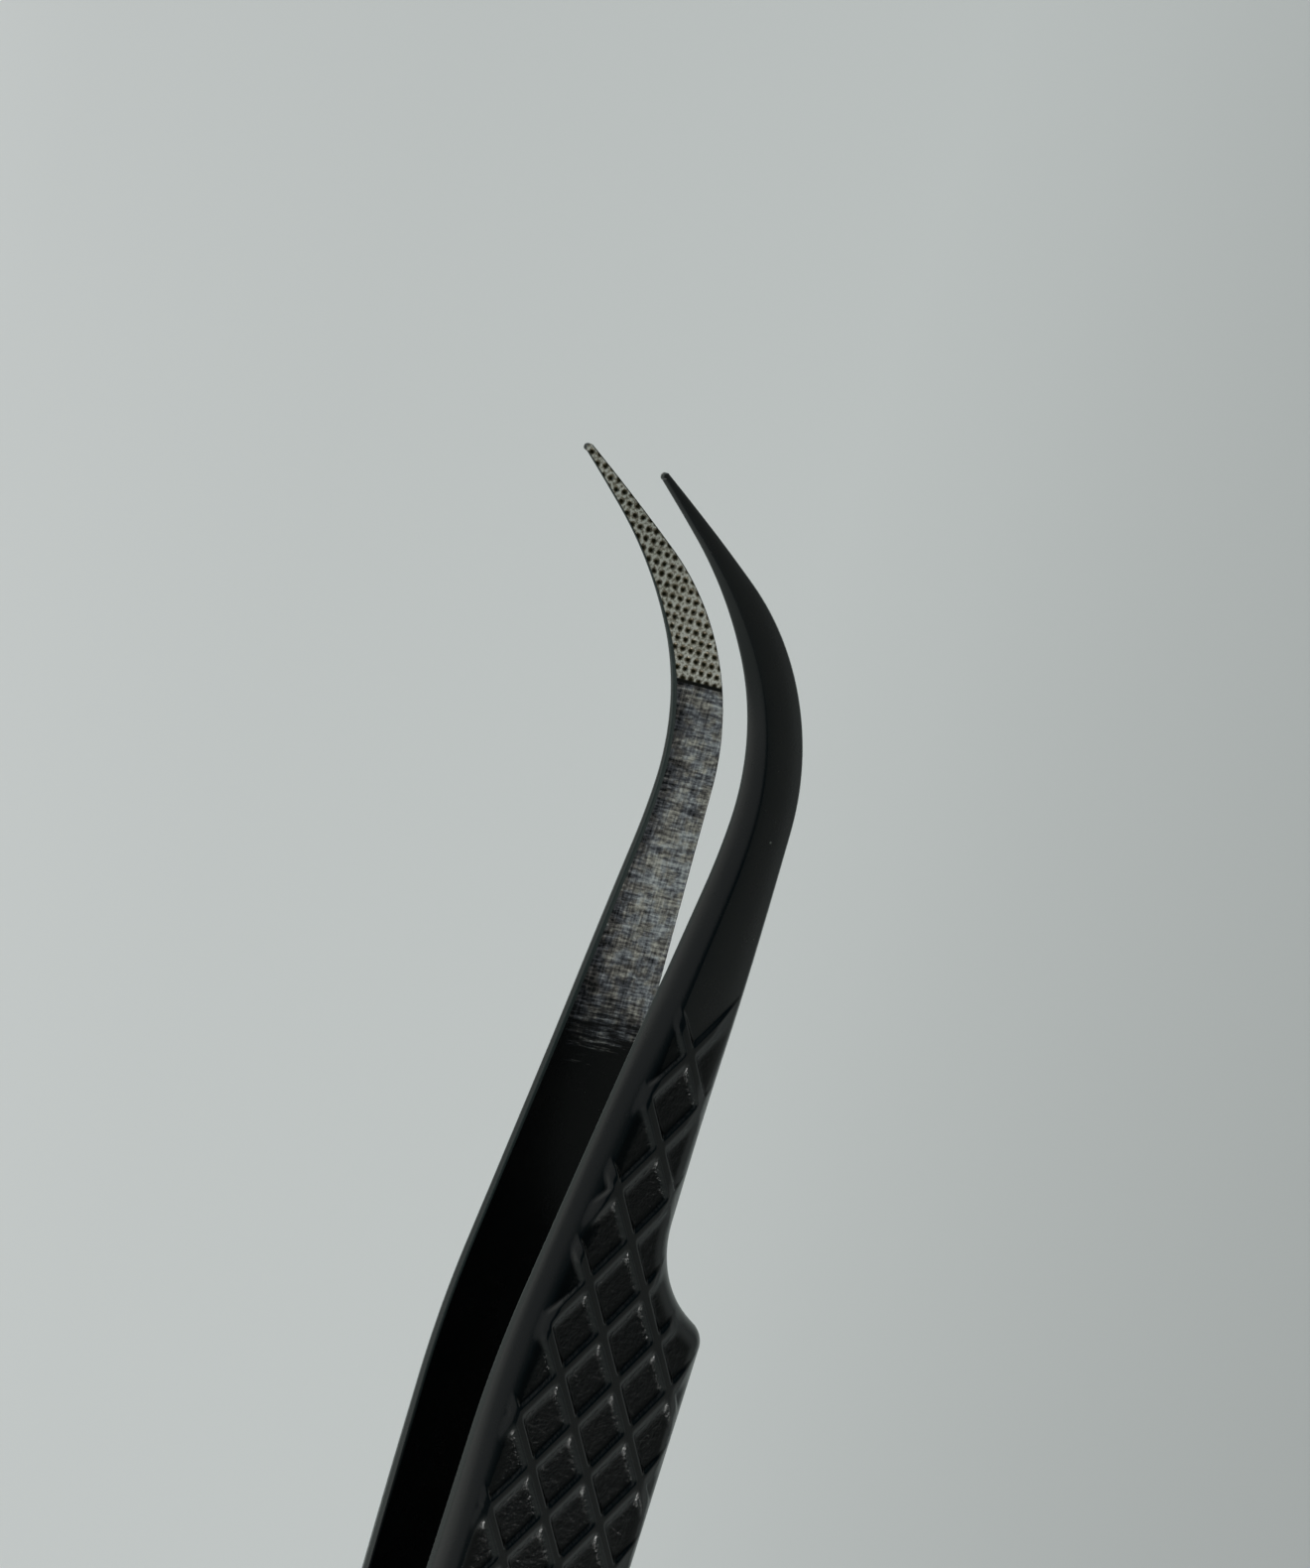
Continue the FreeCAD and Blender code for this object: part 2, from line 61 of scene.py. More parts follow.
# each set: the side it leans to, half the width of a top, widths of its tip and tail slopes
RIDGE_SETS = ((1, 0.1, 0.14, 0.8), (-1, 0.16, 0.22, 0.42))
RIDGE_MERGE = 5.0
NO_RIDGE = 9.0
# ridges run out over these distances from the two edges, and the pattern's floors over these
RIDGE_HIGH_END = 0.6
RIDGE_HIGH_FADE = 0.65
RIDGE_LOW_END = 0.3
RIDGE_LOW_FADE = 1.4
FLOOR_HIGH_END = 0.1
FLOOR_HIGH_FADE = 0.3
FLOOR_LOW_FADE = 0.9

# the fibre tip: rows of small pits in the gripping face
FIBRE_X = 54.46
PIT_PITCH = 0.496
PIT_NODE = (57.12, 8.52)
PIT_LEAN = 0.028
PIT_RADIUS = 0.13
PIT_DEPTH = 0.07
PIT_FLOOR = 0.06
PIT_SLOPE = 0.1
PIT_MARGIN = 0.12
FIRST_PIT_X = FIBRE_X + 0.3
# bare steel begins about here on the gripping face
BARE_X = 35.0

# dimples of the spot welds
WELD_X = (-60.5, -55.0)
WELD_RADIUS = 1.5
WELD_DIP = 0.07
WELD_SLOPE = 0.8

# station tables along X: (x, value)
# distance of the inner face from the middle plane, and thickness of the arm
GAP = [(-75, 0), (-51, 0), (-41, 0.62), (-30, 1.3), (-12, 2.3), (5.4, 3.0), (19.4, 3.4),
       (33.4, 3.72), (47.4, 4.17), (63.4, 4.37), (80, 4.37)]
THICKNESS = [(-75, 1.2), (-50, 1.2), (-41, 0.8), (-31, 1.0), (-14, 1.8), (4, 1.95),
             (22, 1.8), (38, 1.5), (50, 1.15), (58, 0.7), (66, 0.32), (80, 0.32)]
# straight wall below the bevels, width of the bevels, and how round the crest bevel is
LAND = [(-75, 0.6), (-46, 0.5), (-36, 0.5), (-14, 0.5), (5, 0.5), (30, 0.45), (42, 0.38),
        (50, 0.3), (60, 0.15), (66, 0.1), (80, 0.1)]
BEVEL = [(-75, 0.5), (-36, 0.6), (-14, 0.9), (8, 0.95), (17, 1.3), (25, 1.6), (32, 1.45),
         (40, 0.95), (48, 0.8), (55, 0.6), (60, 0.3), (63, 0.12), (80, 0.08)]
BEVEL_POWER = [(-75, 1.6), (20, 1.5), (38, 1.45), (80, 1.4)]
# the notch-side bevel: its width as a share of the crest bevel's, and its roundness
LOW_BEVEL = [(-75, 0.9), (30, 0.9), (42, 0.6), (80, 0.6)]
LOW_POWER = 1.8
# the ridge tops run out over a rounder, narrower bevel
TOP_BEVEL = 0.9
TOP_POWER = 2.0
# height of the outer face's crown at the middle of its width
CROWN = [(-75, 0.05), (-36, 0.05), (-14, 0.12), (30, 0.14), (42, 0.32), (54, 0.3), (61, 0.15),
         (66, 0.06), (80, 0.04)]
# the wall takes up at most this share of the thickness
LAND_SHARE = 0.8
# rounding of the inner face's two edges, and how much further it reaches on the crest side
EDGE_ROUND = 0.08
CREST_REACH = 1.3

# mesh: distance between rings, points across each face, and how they crowd to the edges
RING_SPACING = [(-80, 0.4), (-16, 0.4), (-10, 0.085), (40, 0.085), (43, 0.2), (52, 0.2),
                (54, 0.052), (80, 0.052)]
TAIL_SPACING = 0.15
TAIL_LENGTH = 3.5
OUTER_POINTS = 150
OUTER_CROWD = 0.35
INNER_POINTS = 60
INNER_CROWD = 0.5
WALL_POINTS = 6
# rings join the two edges at equal X up to here, then over this length go square to the arm
EQUAL_X = 28
EQUAL_FADE = 12
# and close up on the ends of both edges from here on
TIP_X = 62.0
TIP_ANGLES = (25, 50, 70, 85)


def smooth_table(table, x):
    """Smooth curve through the (x, value) stations, without overshoot."""
    xs = np.array([row[0] for row in table], float)
    vs = np.array([row[1] for row in table], float)
    step = np.diff(xs)
    rate = np.diff(vs) / step
    slope = np.zeros_like(vs)
    for i in range(1, len(vs) - 1):
        if rate[i - 1] * rate[i] > 0:
            slope[i] = 2.0 / (1.0 / rate[i - 1] + 1.0 / rate[i])
    i = np.clip(np.searchsorted(xs, x) - 1, 0, len(xs) - 2)
    t = (x - xs[i]) / step[i]
    a = vs[i] * (1 + 2 * t) * (1 - t) ** 2 + slope[i] * step[i] * t * (1 - t) ** 2
    b = vs[i + 1] * t * t * (3 - 2 * t) + slope[i + 1] * step[i] * t * t * (t - 1)
    return a + b


def ease(t):
    """Smooth step from 0 at t = 0 to 1 at t = 1."""
    t = np.clip(t, 0, 1)
    return t * t * (3 - 2 * t)


# ---------------------------------------------------------------- plan outline
def trace(start, heading, moves, step=0.02):
    """Dense points of a run of tangent lines ("line", length) and arcs ("arc", radius, turn)."""
    here = np.array(start, float)
    angle = math.radians(heading)
    points = [here]
    for move in moves:
        if move[0] == "line":
            count = max(2, int(move[1] / step))
            run = np.linspace(0, move[1], count + 1)[1:, None]
            new = here + run * np.array([math.cos(angle), math.sin(angle)])
        else:
            radius, turn = move[1], math.radians(move[2])
            side = math.copysign(1.0, turn)
            centre = here + side * radius * np.array([-math.sin(angle), math.cos(angle)])
            count = max(3, int(abs(turn) * radius / step))
            turned = angle + turn * np.linspace(0, 1, count + 1)[1:]
            new = centre - side * radius * np.stack([-np.sin(turned), np.cos(turned)], 1)
            angle += turn
        points.extend(new)
        here = points[-1]
    return np.array(points)


def outlines():
    """The notch-side and the crest-side outline of an arm, from the tail to the tip."""
    lean = math.radians(TAPER_TURN)
    drop = HANDLE_WIDTH / 2 - TAIL_RADIUS * math.cos(lean) - TAPER_BLEND * (1 - math.cos(lean))
    taper = drop / math.sin(lean)
    blend_end = TAIL_X + TAIL_RADIUS * (1 - math.sin(lean)) + taper * math.cos(lean)
    blend_end += TAPER_BLEND * math.sin(lean)
    start = (TAIL_X, HANDLE_WIDTH / 2)
    quarter = 90.0 - TAPER_TURN
    lower = trace(start, -90, [
        ("arc", TAIL_RADIUS, quarter), ("line", taper), ("arc", TAPER_BLEND, TAPER_TURN),
        ("line", SHOULDER_X - blend_end), *NOTCH_SIDE])
    upper = trace(start, 90, [
        ("arc", TAIL_RADIUS, -quarter), ("line", taper), ("arc", TAPER_BLEND, -TAPER_TURN),
        ("line", CREST_X - blend_end), *CREST_SIDE])
    return lower, upper


def tree_of(points):
    tree = KDTree(len(points))
    for i, p in enumerate(points):
        tree.insert((p[0], p[1], 0.0), i)
    tree.balance()
    return tree


def near(tree, points):
    """Index of the nearest outline point, and its distance, for each of the points."""
    found = [tree.find((p[0], p[1], 0.0)) for p in points]
    return np.array([f[1] for f in found]), np.array([f[2] for f in found])


def length_along(points):
    """Length of the run up to each of its points."""
    return np.concatenate([[0], np.cumsum(np.linalg.norm(np.diff(points, axis=0), axis=1))])


def stations(lower, upper):
    """Matching points on the lower and upper edge, close together where detail is fine."""
    run = length_along(lower)
    spacing = smooth_table(RING_SPACING, lower[:, 0])
    spacing = np.where(lower[:, 0] < TAIL_X + TAIL_LENGTH, TAIL_SPACING, spacing)
    effort = np.concatenate([[0], np.cumsum(np.diff(run) / spacing[1:])])
    count = int(effort[-1])
    place = np.interp(np.linspace(0, effort[-1], count + 1), effort, run)
    low = np.stack([np.interp(place, run, lower[:, k]) for k in (0, 1)], 1)
    upper_run = length_along(upper)
    same_x = np.interp(low[:, 0], upper[:, 0], upper_run)
    index, _ = near(tree_of(upper), low)
    nearest = upper_run[index]
    share = ease((low[:, 0] - EQUAL_X) / EQUAL_FADE)
    match = np.maximum.accumulate(same_x * (1 - share) + nearest * share)
    late = np.clip((low[:, 0] - TIP_X) / (low[-1, 0] - TIP_X), 0, 1)
    match = match + (upper_run[-1] - match[-1]) * late
    high = np.stack([np.interp(match, upper_run, upper[:, k]) for k in (0, 1)], 1)
    low[0] = high[0] = low[0]
    # the rounded point of the tip
    centre = (low[-1] + high[-1]) / 2
    half = (high[-1] - low[-1]) / 2
    ahead = np.array([half[1], -half[0]])
    for angle in np.radians(TIP_ANGLES):
        middle = centre + ahead * math.sin(angle)
        low = np.vstack([low, middle - half * math.cos(angle)])
        high = np.vstack([high, middle + half * math.cos(angle)])
    return low, high


# ---------------------------------------------------------------- relief of the two faces
def ridge_side(index, distance, half_width, slope_width):
    """0 on a ridge line's top, rising to 1 at the foot of its side; far where there is no line."""
    there = (index <= GRIP_LAST) & (index >= GRIP_FIRST)
    return np.where(there, (distance - half_width) / slope_width, NO_RIDGE)


def grip_level(x, z, to_high, to_low):
    """Height up a ridge, 0 on the floor and 1 on the top, and how much a point is in the pattern."""
    u = (x - GRIP_NODE[0]) / GRIP_PITCH
    v = (z - GRIP_NODE[1]) / (GRIP_PITCH * math.tan(GRIP_ANGLE))
    spacing = GRIP_PITCH * math.sin(GRIP_ANGLE)
    sides = []
    for side, half, tip_slope, tail_slope in RIDGE_SETS:
        place = u + side * v
        before = np.floor(place)
        sides.append(ridge_side(before, (place - before) * spacing, half, tip_slope))
        sides.append(ridge_side(before + 1, (before + 1 - place) * spacing, half, tail_slope))
    # the nearest ridge counts, with soft corners where ridges cross
    fall = -np.log(sum(np.exp(-RIDGE_MERGE * foot) for foot in sides)) / RIDGE_MERGE
    end = (GRIP_HIGH_BORDER + RIDGE_HIGH_END - to_high) / RIDGE_HIGH_FADE
    fall = np.hypot(np.maximum(fall, 0), np.maximum(end, 0))
    level = (1 - ease(fall)) * ease((to_low - RIDGE_LOW_END) / RIDGE_LOW_FADE)
    inside = (np.minimum(u + v, u - v) < GRIP_LAST) & (np.maximum(u + v, u - v) > GRIP_FIRST)
    inside = inside * ease((to_high - GRIP_HIGH_BORDER - FLOOR_HIGH_END) / FLOOR_HIGH_FADE)
    return level, inside * ease((to_low - GRIP_LOW_BORDER) / FLOOR_LOW_FADE)


def pit_distance(x, z):
    """Distance from the centre of the nearest pit of the fibre tip."""
    u = x - PIT_NODE[0] - PIT_LEAN * (z - PIT_NODE[1])
    v = z - PIT_NODE[1]
    du = u - PIT_PITCH * np.round(u / PIT_PITCH)
    dv = v - PIT_PITCH * np.round(v / PIT_PITCH)
    return np.hypot(du, dv)


def round_rise(distance, run, power):
    """Rounded edge: rises steeply from 0 at the edge to 1 at the end of the run."""
    t = np.clip(distance / run, 0, 1)
    return (1 - (1 - t) ** power) ** (1 / power)


def crowd(count, amount):
    """Shares from 0 to 1 that lie closer together towards both ends."""
    u = np.linspace(0, 1, count)
    return u - amount / (2 * math.pi) * np.sin(2 * math.pi * u)


def arm_points():
    """Rings of points of the left arm, mm, and the same of its zone values.

    Both are arrays [station, place in ring, 3]. The zone values are
    on the inner face: 1, the distance from the crest edge, the distance from the nearest edge;
    on the outer face: minus the share of grip pattern, the grip level, the distance from the
    nearest edge; on the walls between them: 0, 0, 0.
    """
    lower, upper = outlines()
    low, high = stations(lower, upper)
    lower_tree = tree_of(lower)
    upper_tree = tree_of(upper)
    outer_c = crowd(OUTER_POINTS, OUTER_CROWD)
    inner_c = crowd(INNER_POINTS, INNER_CROWD)

    def spread(c):
        return low[:, None, :] * (1 - c[None, :, None]) + high[:, None, :] * c[None, :, None]

    def distances(grid):
        flat = grid.reshape(-1, 2)
        _, a = near(lower_tree, flat)
        _, b = near(upper_tree, flat)
        return a.reshape(grid.shape[:2]), b.reshape(grid.shape[:2])

    outer = spread(outer_c)
    to_low, to_high = distances(outer)
    x, z = outer[..., 0], outer[..., 1]
    thick = smooth_table(THICKNESS, x)
    land = np.minimum(smooth_table(LAND, x), thick * LAND_SHARE)
    bevel = smooth_table(BEVEL, x)
    power = smooth_table(BEVEL_POWER, x)
    low_rise = round_rise(to_low, bevel * smooth_table(LOW_BEVEL, x), LOW_POWER)
    rise = low_rise * round_rise(to_high, bevel, power)
    across = (to_low - to_high) / (to_low + to_high + 1e-6)
    crown = smooth_table(CROWN, x) * (1 - across ** 2)
    level, patterned = grip_level(x, z, to_high, to_low)
    off_weld = [np.hypot(x - weld, z - HANDLE_WIDTH / 2) - WELD_RADIUS for weld in WELD_X]
    dip = sum(1 - ease((off + WELD_SLOPE / 2) / WELD_SLOPE) for off in off_weld)
    top_rise = low_rise * round_rise(to_high, TOP_BEVEL, TOP_POWER)
    swell = thick - land + crown
    body = swell * rise
    top = np.maximum(swell * top_rise, body) + RIDGE_HEIGHT
    outer_y = smooth_table(GAP, x) + land + body + (top - body) * level - WELD_DIP * dip
    outer3 = np.stack([x, outer_y, z], -1)[:, ::-1]
    outer_zone = np.stack([-patterned, level, np.minimum(to_low, to_high)], -1)[:, ::-1]

    inner = spread(inner_c)
    to_low_i, to_high_i = distances(inner)
    edge_i = np.minimum(to_low_i, to_high_i)
    xi, zi = inner[..., 0], inner[..., 1]
    inner_y = smooth_table(GAP, xi) + EDGE_ROUND * (1 - round_rise(to_low_i, EDGE_ROUND, 2.0))
    inner_y += EDGE_ROUND * (1 - round_rise(to_high_i, EDGE_ROUND * CREST_REACH, 2.0))
    pit = 1 - ease((pit_distance(xi, zi) - PIT_FLOOR) / PIT_SLOPE)
    inner_y += PIT_DEPTH * pit * ease((edge_i - PIT_MARGIN) / PIT_SLOPE) * (xi > FIRST_PIT_X)
    inner3 = np.stack([xi, inner_y, zi], -1)
    inner_zone = np.stack([np.ones_like(xi), to_high_i, edge_i], -1)

    def wall(edge_xz, base_y, top_y):
        t = np.linspace(0, 1, WALL_POINTS + 2)[1:-1]
        y = base_y[:, None] * (1 - t) + top_y[:, None] * t
        xz = np.repeat(edge_xz[:, None, :], WALL_POINTS, 1)
        return np.stack([xz[..., 0], y, xz[..., 1]], -1)

    up = wall(high, inner_y[:, -1], outer3[:, 0, 1])
    down = wall(low, outer3[:, -1, 1], inner_y[:, 0])
    rings = np.concatenate([inner3, up, outer3, down], 1)
    zones = np.concatenate([inner_zone, up * 0, outer_zone, down * 0], 1)
    return rings, zones


def arm_mesh(name, side, rings, zones):
    """Closed mesh of one arm; side is 1 for the left arm and -1 for its mirror image."""
    rows, around = rings.shape[:2]
    points = rings.reshape(-1, 3) * np.array([1, side, 1]) * MM
    i = np.arange(rows - 1)[:, None]
    j = np.arange(around)[None, :]
    a = i * around + j
    b = i * around + (j + 1) % around
    quads = np.stack([a, b, b + around, a + around], -1).reshape(-1, 4)
    if side < 0:
        quads = quads[:, ::-1]
    mesh = bpy.data.meshes.new(name)
    mesh.vertices.add(len(points))
    mesh.vertices.foreach_set("co", points.ravel())
    cap_first = list(range(around))
    cap_last = [(rows - 1) * around + k for k in range(around)]
    if side > 0:
        cap_first = cap_first[::-1]
    else:
        cap_last = cap_last[::-1]
    mesh.loops.add(len(quads) * 4 + 2 * around)
    mesh.loops.foreach_set("vertex_index",
                           np.concatenate([quads.ravel(), cap_first, cap_last]).astype(np.int32))
    mesh.polygons.add(len(quads) + 2)
    starts = np.concatenate([np.arange(len(quads)) * 4, [len(quads) * 4, len(quads) * 4 + around]])
    mesh.polygons.foreach_set("loop_start", starts.astype(np.int32))
    mesh.update(calc_edges=True)
    mesh.polygons.foreach_set("use_smooth", [True] * len(mesh.polygons))
    for title, values in (("place", rings), ("zone", zones)):
        held = mesh.attributes.new(title, "FLOAT_VECTOR", "POINT")
        held.data.foreach_set("vector", values.reshape(-1, 3).astype(np.float32).ravel())
    obj = bpy.data.objects.new(name, mesh)
    bpy.context.scene.collection.objects.link(obj)
    return obj


# ---------------------------------------------------------------- materials
COAT_ROUGH = 0.22
COAT_SHINE = 0.5
STEEL_CONTRAST = 4.3
# height of the coat's grain, and of the rubble between the ridges as a multiple of it
FINE_RELIEF = 0.006
RUBBLE_HEIGHT = 14.0


class Nodes:
    """Short names for the nodes of one material."""

    def __init__(self, title):
        self.material = bpy.data.materials.new(title)
        self.material.use_nodes = True
        self.tree = self.material.node_tree
        self.shader = self.tree.nodes["Principled BSDF"]

    def put(self, socket, value):
        """Link the value to the socket if it is a node's output, or set it there if it is plain."""
        if isinstance(value, bpy.types.NodeSocket):
            self.tree.links.new(value, socket)
        else:
            socket.default_value = value

    def math(self, operation, a, b=0.0, c=0.0):
        node = self.tree.nodes.new("ShaderNodeMath")
        node.operation = operation
        for socket, value in zip(node.inputs, (a, b, c)):
            self.put(socket, value)
        return node.outputs[0]

    def steps(self, value, low, high, first=0.0, last=1.0):
        """Goes smoothly from first to last while value goes from low to high."""
        node = self.tree.nodes.new("ShaderNodeMapRange")
        node.interpolation_type = "SMOOTHSTEP"
        for socket, number in zip(node.inputs, (value, low, high, first, last)):
            self.put(socket, number)
        return node.outputs[0]

    def attribute(self, title):
        """The vector that the mesh holds under this title, and its three parts."""
        node = self.tree.nodes.new("ShaderNodeAttribute")
        node.attribute_name = title
        parts = self.tree.nodes.new("ShaderNodeSeparateXYZ")
        self.put(parts.inputs[0], node.outputs["Vector"])
        return node.outputs["Vector"], parts.outputs

    def scaled(self, vector, scale):
        node = self.tree.nodes.new("ShaderNodeVectorMath")
        node.operation = "MULTIPLY"
        self.put(node.inputs[0], vector)
        self.put(node.inputs[1], scale)
        return node.outputs[0]

    def noise(self, vector, scale, detail=3.0, roughness=0.5):
        node = self.tree.nodes.new("ShaderNodeTexNoise")
        self.put(node.inputs["Vector"], vector)
        node.inputs["Scale"].default_value = scale
        node.inputs["Detail"].default_value = detail
        node.inputs["Roughness"].default_value = roughness
        return node.outputs["Fac"]

    def blend(self, share, first, second):
        node = self.tree.nodes.new("ShaderNodeMix")
        node.data_type = "RGBA"
        self.put(node.inputs["Factor"], share)
        self.put(node.inputs[6], first)
        self.put(node.inputs[7], second)
        return node.outputs[2]

    def ramp(self, value, stops):
        node = self.tree.nodes.new("ShaderNodeValToRGB")
        self.put(node.inputs[0], value)
        elements = node.color_ramp.elements
        while len(elements) < len(stops):
            elements.new(0.5)
        for element, (place, color) in zip(elements, stops):
            element.position = place
            element.color = (*color, 1)
        return node.outputs[0]

    def dust(self, vector):
        """1 on a few tiny specks, 0 elsewhere."""
        node = self.tree.nodes.new("ShaderNodeTexVoronoi")
        self.put(node.inputs["Vector"], vector)
        node.inputs["Scale"].default_value = 0.45
        parts = self.tree.nodes.new("ShaderNodeSeparateXYZ")
        self.put(parts.inputs[0], node.outputs["Color"])
        chosen = self.math("GREATER_THAN", parts.outputs[0], 0.8)
        return self.math("MULTIPLY", chosen, self.steps(node.outputs["Distance"], 0.035, 0.02))

    def bump(self, height, distance):
        node = self.tree.nodes.new("ShaderNodeBump")
        node.inputs["Distance"].default_value = distance
        self.put(node.inputs["Height"], height)
        return node.outputs[0]


def coating(n, place, grip):
    """Colour and roughness of the black coat: faint mottling and a few specks of dust."""
    mottle = n.noise(place, 0.35, 4.0, 0.6)
    color = n.ramp(mottle, [(0.3, (0.0028, 0.0034, 0.0036)), (0.7, (0.005, 0.0052, 0.0048))])
    color = n.blend(n.dust(place), color, (0.16, 0.17, 0.15, 1))
    rough = n.math("ADD", COAT_ROUGH, n.math("MULTIPLY", mottle, 0.1))
    return color, n.math("SUBTRACT", rough, n.math("MULTIPLY", grip, 0.07))


def brushed_steel(n, place, x, to_crest):
    """Brushing of the grinding belt, how far it reaches along X, and the steel's colour."""
    streak = n.noise(n.scaled(place, (5.5, 0.0, 0.7)), 1.0, 3.0, 0.6)
    band = n.noise(n.scaled(place, (1.6, 0.0, 0.35)), 1.0, 2.0, 0.5)
    fleck = n.noise(n.scaled(place, (6.0, 0.0, 3.5)), 1.0, 2.0, 0.6)
    lines = n.noise(n.scaled(place, (0.6, 0.0, 6.0)), 1.0, 2.0, 0.6)
    # the streaks end raggedly
    reach = n.math("ADD", x, n.math("MULTIPLY", n.math("SUBTRACT", streak, 0.5), 5.0))
    reach = n.math("ADD", reach, n.math("MULTIPLY", n.math("SUBTRACT", band, 0.5), 4.0))
    mix = n.math("MULTIPLY", streak, 0.36)
    for pattern, share in ((fleck, 0.24), (lines, 0.24), (band, 0.16)):
        mix = n.math("ADD", mix, n.math("MULTIPLY", pattern, share))
    # painted shade and highlight: the steel's colour is darker beside the crest edge and brightest along
    # the arm where x is 43.5, standing in for the light it reflects there
    side = n.steps(to_crest, 0.1, 1.6, 0.42, 0.0)
    tone = n.math("MULTIPLY_ADD", n.math("SUBTRACT", mix, 0.5), STEEL_CONTRAST, 0.5)
    tone = n.math("SUBTRACT", tone, side)
    tone = n.math("ADD", tone, n.steps(x, 37.0, 43.5, -0.02, 0.22))
    tone = n.math("SUBTRACT", tone, n.steps(x, 43.5, 48.5, 0.0, 0.12))
    cool = n.ramp(tone, [(0.0, (0.02, 0.022, 0.026)), (0.45, (0.2, 0.205, 0.24)),
                         (0.7, (0.48, 0.5, 0.56)), (1.0, (0.95, 0.97, 1.0))])
    warm = n.ramp(tone, [(0.0, (0.022, 0.022, 0.022)), (0.45, (0.24, 0.21, 0.19)),
                         (0.7, (0.58, 0.52, 0.44)), (1.0, (1.0, 0.93, 0.82))])
    warmth = n.steps(n.noise(place, 1.2, 3.0, 0.6), 0.4, 0.6, 0.2, 0.8)
    return mix, reach, n.blend(warmth, cool, warm)


def fibre_steel(n, place, x, z, grain):
    """Colour of the fibre tip: beige-silver between rows of dark pits."""
    v = n.math("SUBTRACT", z, PIT_NODE[1])
    u = n.math("SUBTRACT", n.math("SUBTRACT", x, PIT_NODE[0]), n.math("MULTIPLY", v, PIT_LEAN))
    squares = []
    for value in (u, v):
        cells = n.math("DIVIDE", value, PIT_PITCH)
        off = n.math("SUBTRACT", cells, n.math("ROUND", cells))
        squares.append(n.math("POWER", n.math("ABSOLUTE", off), 2.0))
    radius = n.math("MULTIPLY", n.math("SQRT", n.math("ADD", *squares)), PIT_PITCH)
    radius = n.math("ADD", radius, n.math("MULTIPLY", n.math("SUBTRACT", grain, 0.5), 0.1))
    pit = n.steps(radius, PIT_RADIUS + 0.03, PIT_RADIUS - 0.05)
    # palest in a ring around each pit
    tone = n.math("ADD", n.noise(place, 5.0, 3.0, 0.7), n.steps(radius, 0.13, 0.24, -0.12, 0.12))
    tone = n.math("SUBTRACT", tone, n.steps(radius, 0.26, 0.34, 0.0, 0.1))
    color = n.ramp(tone, [(0.35, (0.2, 0.165, 0.12)), (0.5, (0.5, 0.45, 0.36)),
                          (0.66, (1.0, 0.96, 0.88))])
    return n.blend(pit, color, (0.03, 0.026, 0.012, 1))


